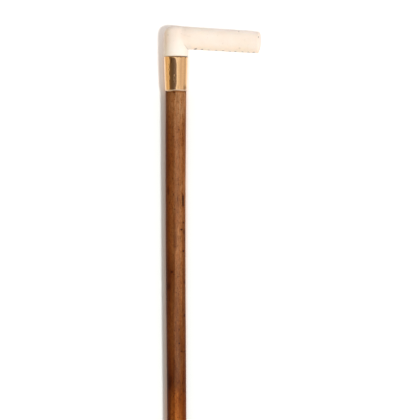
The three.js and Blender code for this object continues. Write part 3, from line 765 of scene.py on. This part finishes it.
# Polished bone: light goes about 1 mm into it, so that its shade is soft and warm, and handling has left a low sheen.
# It is clouded every 14 mm or so, and its grain is drawn 2 mm wide.
bone, tree = new_material("polished_bone")
space = add(tree, "TexCoord").outputs["Object"]
cloud = add(tree, "TexNoise", {0: space, "Scale": 70, "Detail": 3})
bone_colour = add(tree, "ValToRGB", {0: cloud}, stops=[(0.35, "e8d7c8"), (0.65, "ebdccf")])
# Pores and flecks: ticks all over, drawn 0.7 mm wide where real pores are finer, and single ones in front and behind
# as (across, height, half width, half height, how dark)
tick_space = add(tree, "Mapping", {0: space, "Scale": (700, 1500, 1500)})
ticks = add(tree, "TexNoise", {0: tick_space, "Scale": 1, "Detail": 2})
ticked = add(tree, "MapRange", {0: ticks, 1: 0.66, 2: 0.74, 3: 0, 4: 0.16})
flecks = [(62.8, 893.9, 0.5, 0.5, 0.6), (82.5, 888, 0.4, 0.95, 0.7), (68.5, 885, 0.4, 0.35, 0.25),
          (46.9, 881.6, 0.7, 0.8, 0.12), (63.5, 877, 1, 0.8, 0.2), (41.8, 889.8, 0.7, 0.5, 0.12),
          (31.8, 887.3, 0.4, 0.5, 0.14), (31.8, 890.5, 0.4, 0.4, 0.12), (9.3, 895, 0.8, 0.5, 0.12),
          (5.6, 891.2, 0.9, 0.5, 0.15), (9, 890, 2.6, 0.5, 0.1), (13, 888.8, 2.2, 0.4, 0.12),
          (-7.8, 890.2, 0.6, 1, 0.2), (71.7, 877.5, 0.25, 4, 0.06), (2.6, 898, 0.5, 0.4, 0.15),
          (-2, 884, 0.3, 0.8, 0.1)]
flecks_behind = [(22, 892.4, 0.6, 0.5, 0.3), (44.5, 884, 0.9, 0.5, 0.14), (66, 879.8, 0.4, 0.4, 0.4),
                 (75.5, 889, 0.4, 0.8, 0.22), (-4.5, 880.5, 0.4, 1, 0.2), (33, 879, 1.6, 0.4, 0.1)]
# How far in from the front or the back a fleck still shows
fleck_depth = 9
speck = ticked
for across, height, half_width, half_height, darkness, side in (
        [row + (-1,) for row in flecks] + [row + (1,) for row in flecks_behind]):
    from_fleck = reach(tree, space, (across, 0.9 * side * fleck_depth, height),
                       (half_width, fleck_depth, half_height), mm)
    fleck = add(tree, "MapRange", {0: from_fleck, 1: 0.4, 2: 1.5, 3: darkness, 4: 0},
                interpolation_type="SMOOTHSTEP")
    speck = add(tree, "Math", {0: speck, 1: fleck}, operation="MAXIMUM")
# The bone's yellowing, with its painted light and shade, as worked out above.
bone_tint_read = add(tree, "Attribute", attribute_name="yellowing_and_painted_light")
old_bone = add(tree, "VectorMath", {0: bone_colour, 1: bone_tint_read.outputs["Color"]}, operation="MULTIPLY")
bone_seen = add(tree, "Mix", {0: speck, 6: old_bone, 7: "5a4632"}, data_type="RGBA")
# The notches and the lower inside corner are darkened.
darkening_read = add(tree, "Attribute", attribute_name="recess_darkening")
bone_darkened = add(tree, "Mix", {0: darkening_read.outputs["Fac"], 6: bone_seen.outputs[2], 7: "6c4824"}, data_type="RGBA")
grain = add(tree, "TexNoise", {0: space, "Scale": 500, "Detail": 4})
grain_height = add(tree, "Bump", {"Strength": 0.25, "Distance": 0.05 * mm, "Height": grain})
shader = add(tree, "BsdfPrincipled",
             {"Base Color": bone_darkened.outputs[2], "Roughness": 0.34, "IOR": 1.54, "Subsurface Weight": 0.25,
              "Subsurface Radius": (1, 0.65, 0.4), "Subsurface Scale": 1.2 * mm, "Normal": grain_height})
add(tree, "OutputMaterial", {"Surface": shader})
handle.data.materials.append(bone)
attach(handle, "root")
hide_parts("handle")


# --- Ferrule sleeve ---
# A tapered tube drawn from brass sheet, with its top edge rolled into a bead over a fine groove. It is pushed on to
# the cane's foot and pinned, and the ground has dulled and scratched it, most near the tip.
sleeve_foot, sleeve_top, groove_height = 5, 43, 39.65
bead_radius, bead_height, bead_out, bead_half_height = 8.76, 42, 0.35, 0.98
sleeve_profile = [(7.3, sleeve_foot), (7.85, sleeve_foot), (8, 5.06), (8.06, 5.25), (8.15, 10), (8.35, 20),
                  (8.55, 30), (8.73, 39.3), (8.66, 39.5), (8.66, 39.8), (8.76, 40), (8.79, 40.7), (8.8, 40.95)]
for i in range(9):
    turn = quarter_turn * (i / 4 - 1)
    sleeve_profile.append((bead_radius + bead_out * math.cos(turn), bead_height + bead_half_height * math.sin(turn)))
sleeve_profile += [(8.6, sleeve_top), (8.1, sleeve_top - 0.05), (8.01, sleeve_top - 0.3)]
sleeve = turn_rings("ferrule_brass_sleeve", sleeve_profile, 96, hollow=True)
smooth(sleeve, 40)

# Worn brass: yellow and bright where it is rubbed, and brown and dull in patches about 3 mm wide. Its scratches are
# 0.24 mm wide, coarser than real ones, to show.
brass, tree = new_material("worn_brass")
space = add(tree, "TexCoord").outputs["Object"]
parts = add(tree, "SeparateXYZ", {0: space})
# From 1 at the ground to 0 at 30 mm up, broken up by a noise: how dulled the brass is
near_ground = add(tree, "MapRange", {0: parts.outputs["Z"], 1: 2 * mm, 2: 30 * mm, 3: 1, 4: 0})
patch_space = add(tree, "Mapping", {0: space, "Scale": (330, 330, 200)})
patch = add(tree, "TexNoise", {0: patch_space, "Scale": 1, "Detail": 9, "Roughness": 0.62})
patchy = add(tree, "MapRange", {0: patch, 3: 0.14, 4: 0.86}, clamp=False)
dulled = add(tree, "Math", {0: near_ground, 1: 0.4, 2: patchy}, operation="MULTIPLY_ADD")
brass_tone = add(tree, "ValToRGB", {0: dulled},
                 stops=[(0.3, "d3ae68"), (0.52, "b9934f"), (0.75, "92713d"), (0.95, "6c5532")])
# Dirt has stayed in the groove under the bead.
from_groove = away_from(tree, parts.outputs["Z"], groove_height * mm)
in_groove = add(tree, "MapRange", {0: from_groove, 1: 0.15 * mm, 2: 0.55 * mm, 3: 0.75, 4: 0},
                interpolation_type="SMOOTHSTEP")
brass_dirty = add(tree, "Mix", {0: in_groove, 6: brass_tone, 7: "4a3820"}, data_type="RGBA")
scratch_space = add(tree, "Mapping", {0: space, "Rotation": (0.5, 0.35, 0), "Scale": (350, 350, 4200)})
scratches = add(tree, "TexNoise", {0: scratch_space, "Scale": 1, "Detail": 4})
scratched = add(tree, "MapRange", {0: scratches, 1: 0.62, 2: 0.7, 3: 0, 4: 0.5})
brass_colour = add(tree, "Mix", {0: scratched, 6: brass_dirty.outputs[2], 7: "dcbc7c"}, data_type="RGBA")
rough_sum = add(tree, "Math", {0: scratches, 1: 0.5, 2: dulled}, operation="MULTIPLY_ADD")
brass_rough = add(tree, "MapRange", {0: rough_sum, 1: 0.5, 2: 1.3, 3: 0.2, 4: 0.55})
scratch_height = add(tree, "Bump", {"Strength": 0.5, "Distance": 0.03 * mm, "Height": scratches})
shader = add(tree, "BsdfPrincipled",
             {"Base Color": brass_colour.outputs[2], "Metallic": 1, "Roughness": brass_rough,
              "Normal": scratch_height})
add(tree, "OutputMaterial", {"Surface": shader})
sleeve.data.materials.append(brass)
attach(sleeve, "root")
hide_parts("ferrule_sleeve")


# --- Ferrule tip ---
# A turned steel plug whose spigot is soldered in the mouth of the sleeve. The ground has worn its edge round and
# scuffed it, and rust has started in the scuffs.
tip_profile = [(5.2, 0), (6.2, 0.03), (6.9, 0.2), (7.4, 0.52), (7.75, 0.95), (7.95, 1.45), (8.03, 2), (8.03, 3.9),
               (7.96, 4.15), (7.9, 4.6), (7.96, 4.85), (7.9, 4.98), (7.2, 5), (7.2, 5.1), (7.33, 10.96)]
tip = turn_rings("ferrule_steel_tip", tip_profile, 96)
smooth(tip, 40)

# Turned steel: scuffs 1.4 mm wide break up its grey shine. The lathe's rings are 0.2 mm apart, coarser than real, to
# show.
worn_steel, tree = new_material("scuffed_steel")
space = add(tree, "TexCoord").outputs["Object"]
scuffs = add(tree, "TexNoise", {0: space, "Scale": 700, "Detail": 6})
turning_space = add(tree, "Mapping", {0: space, "Scale": (60, 60, 5200)})
turning = add(tree, "TexNoise", {0: turning_space, "Scale": 1, "Detail": 3})
worn_steel_colour = add(tree, "ValToRGB", {0: scuffs},
                        stops=[(0.27, "70543f"), (0.36, "7f7b75"), (0.6, "94918b"), (0.75, "a8a59f")])
marks = add(tree, "Math", {0: scuffs, 1: turning}, operation="ADD")
worn_steel_rough = add(tree, "MapRange", {0: marks, 1: 0.7, 2: 1.3, 3: 0.6, 4: 0.34})
mark_height = add(tree, "Bump", {"Strength": 0.5, "Distance": 0.06 * mm, "Height": marks})
shader = add(tree, "BsdfPrincipled",
             {"Base Color": worn_steel_colour, "Metallic": 1, "Roughness": worn_steel_rough, "Normal": mark_height})
add(tree, "OutputMaterial", {"Surface": shader})
tip.data.materials.append(worn_steel)
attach(tip, "root")
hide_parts("ferrule_tip")


# --- Ferrule pins ---
# Two brass escutcheon pins, one in front and one behind, driven through the sleeve into the wood. Their round heads
# are flattened a little by the hammer.
pin_height, pin_seat = 34, 8.63
pin_profile = [(0.12, -5.98), (0.3, -5.7), (0.8, -5), (0.8, -0.05), (1.1, -0.02), (1.27, 0.02), (1.29, 0.1),
               (1.22, 0.2), (1.05, 0.29), (0.8, 0.35), (0.5, 0.385), (0.2, 0.395)]
for name, replaced, side in (("brass_pin_front", "ferrule_pin_front", -1), ("brass_pin_back", "ferrule_pin_back", 1)):
    pin = turn_rings(name, pin_profile, 32)
    pin.rotation_euler = (-side * quarter_turn, 0, 0)
    pin.location = (0, side * pin_seat * mm, pin_height * mm)
    bpy.ops.object.transform_apply(location=True, rotation=True)
    smooth(pin, 40)
    pin.data.materials.append(brass)
    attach(pin, "root")
    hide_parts(replaced)
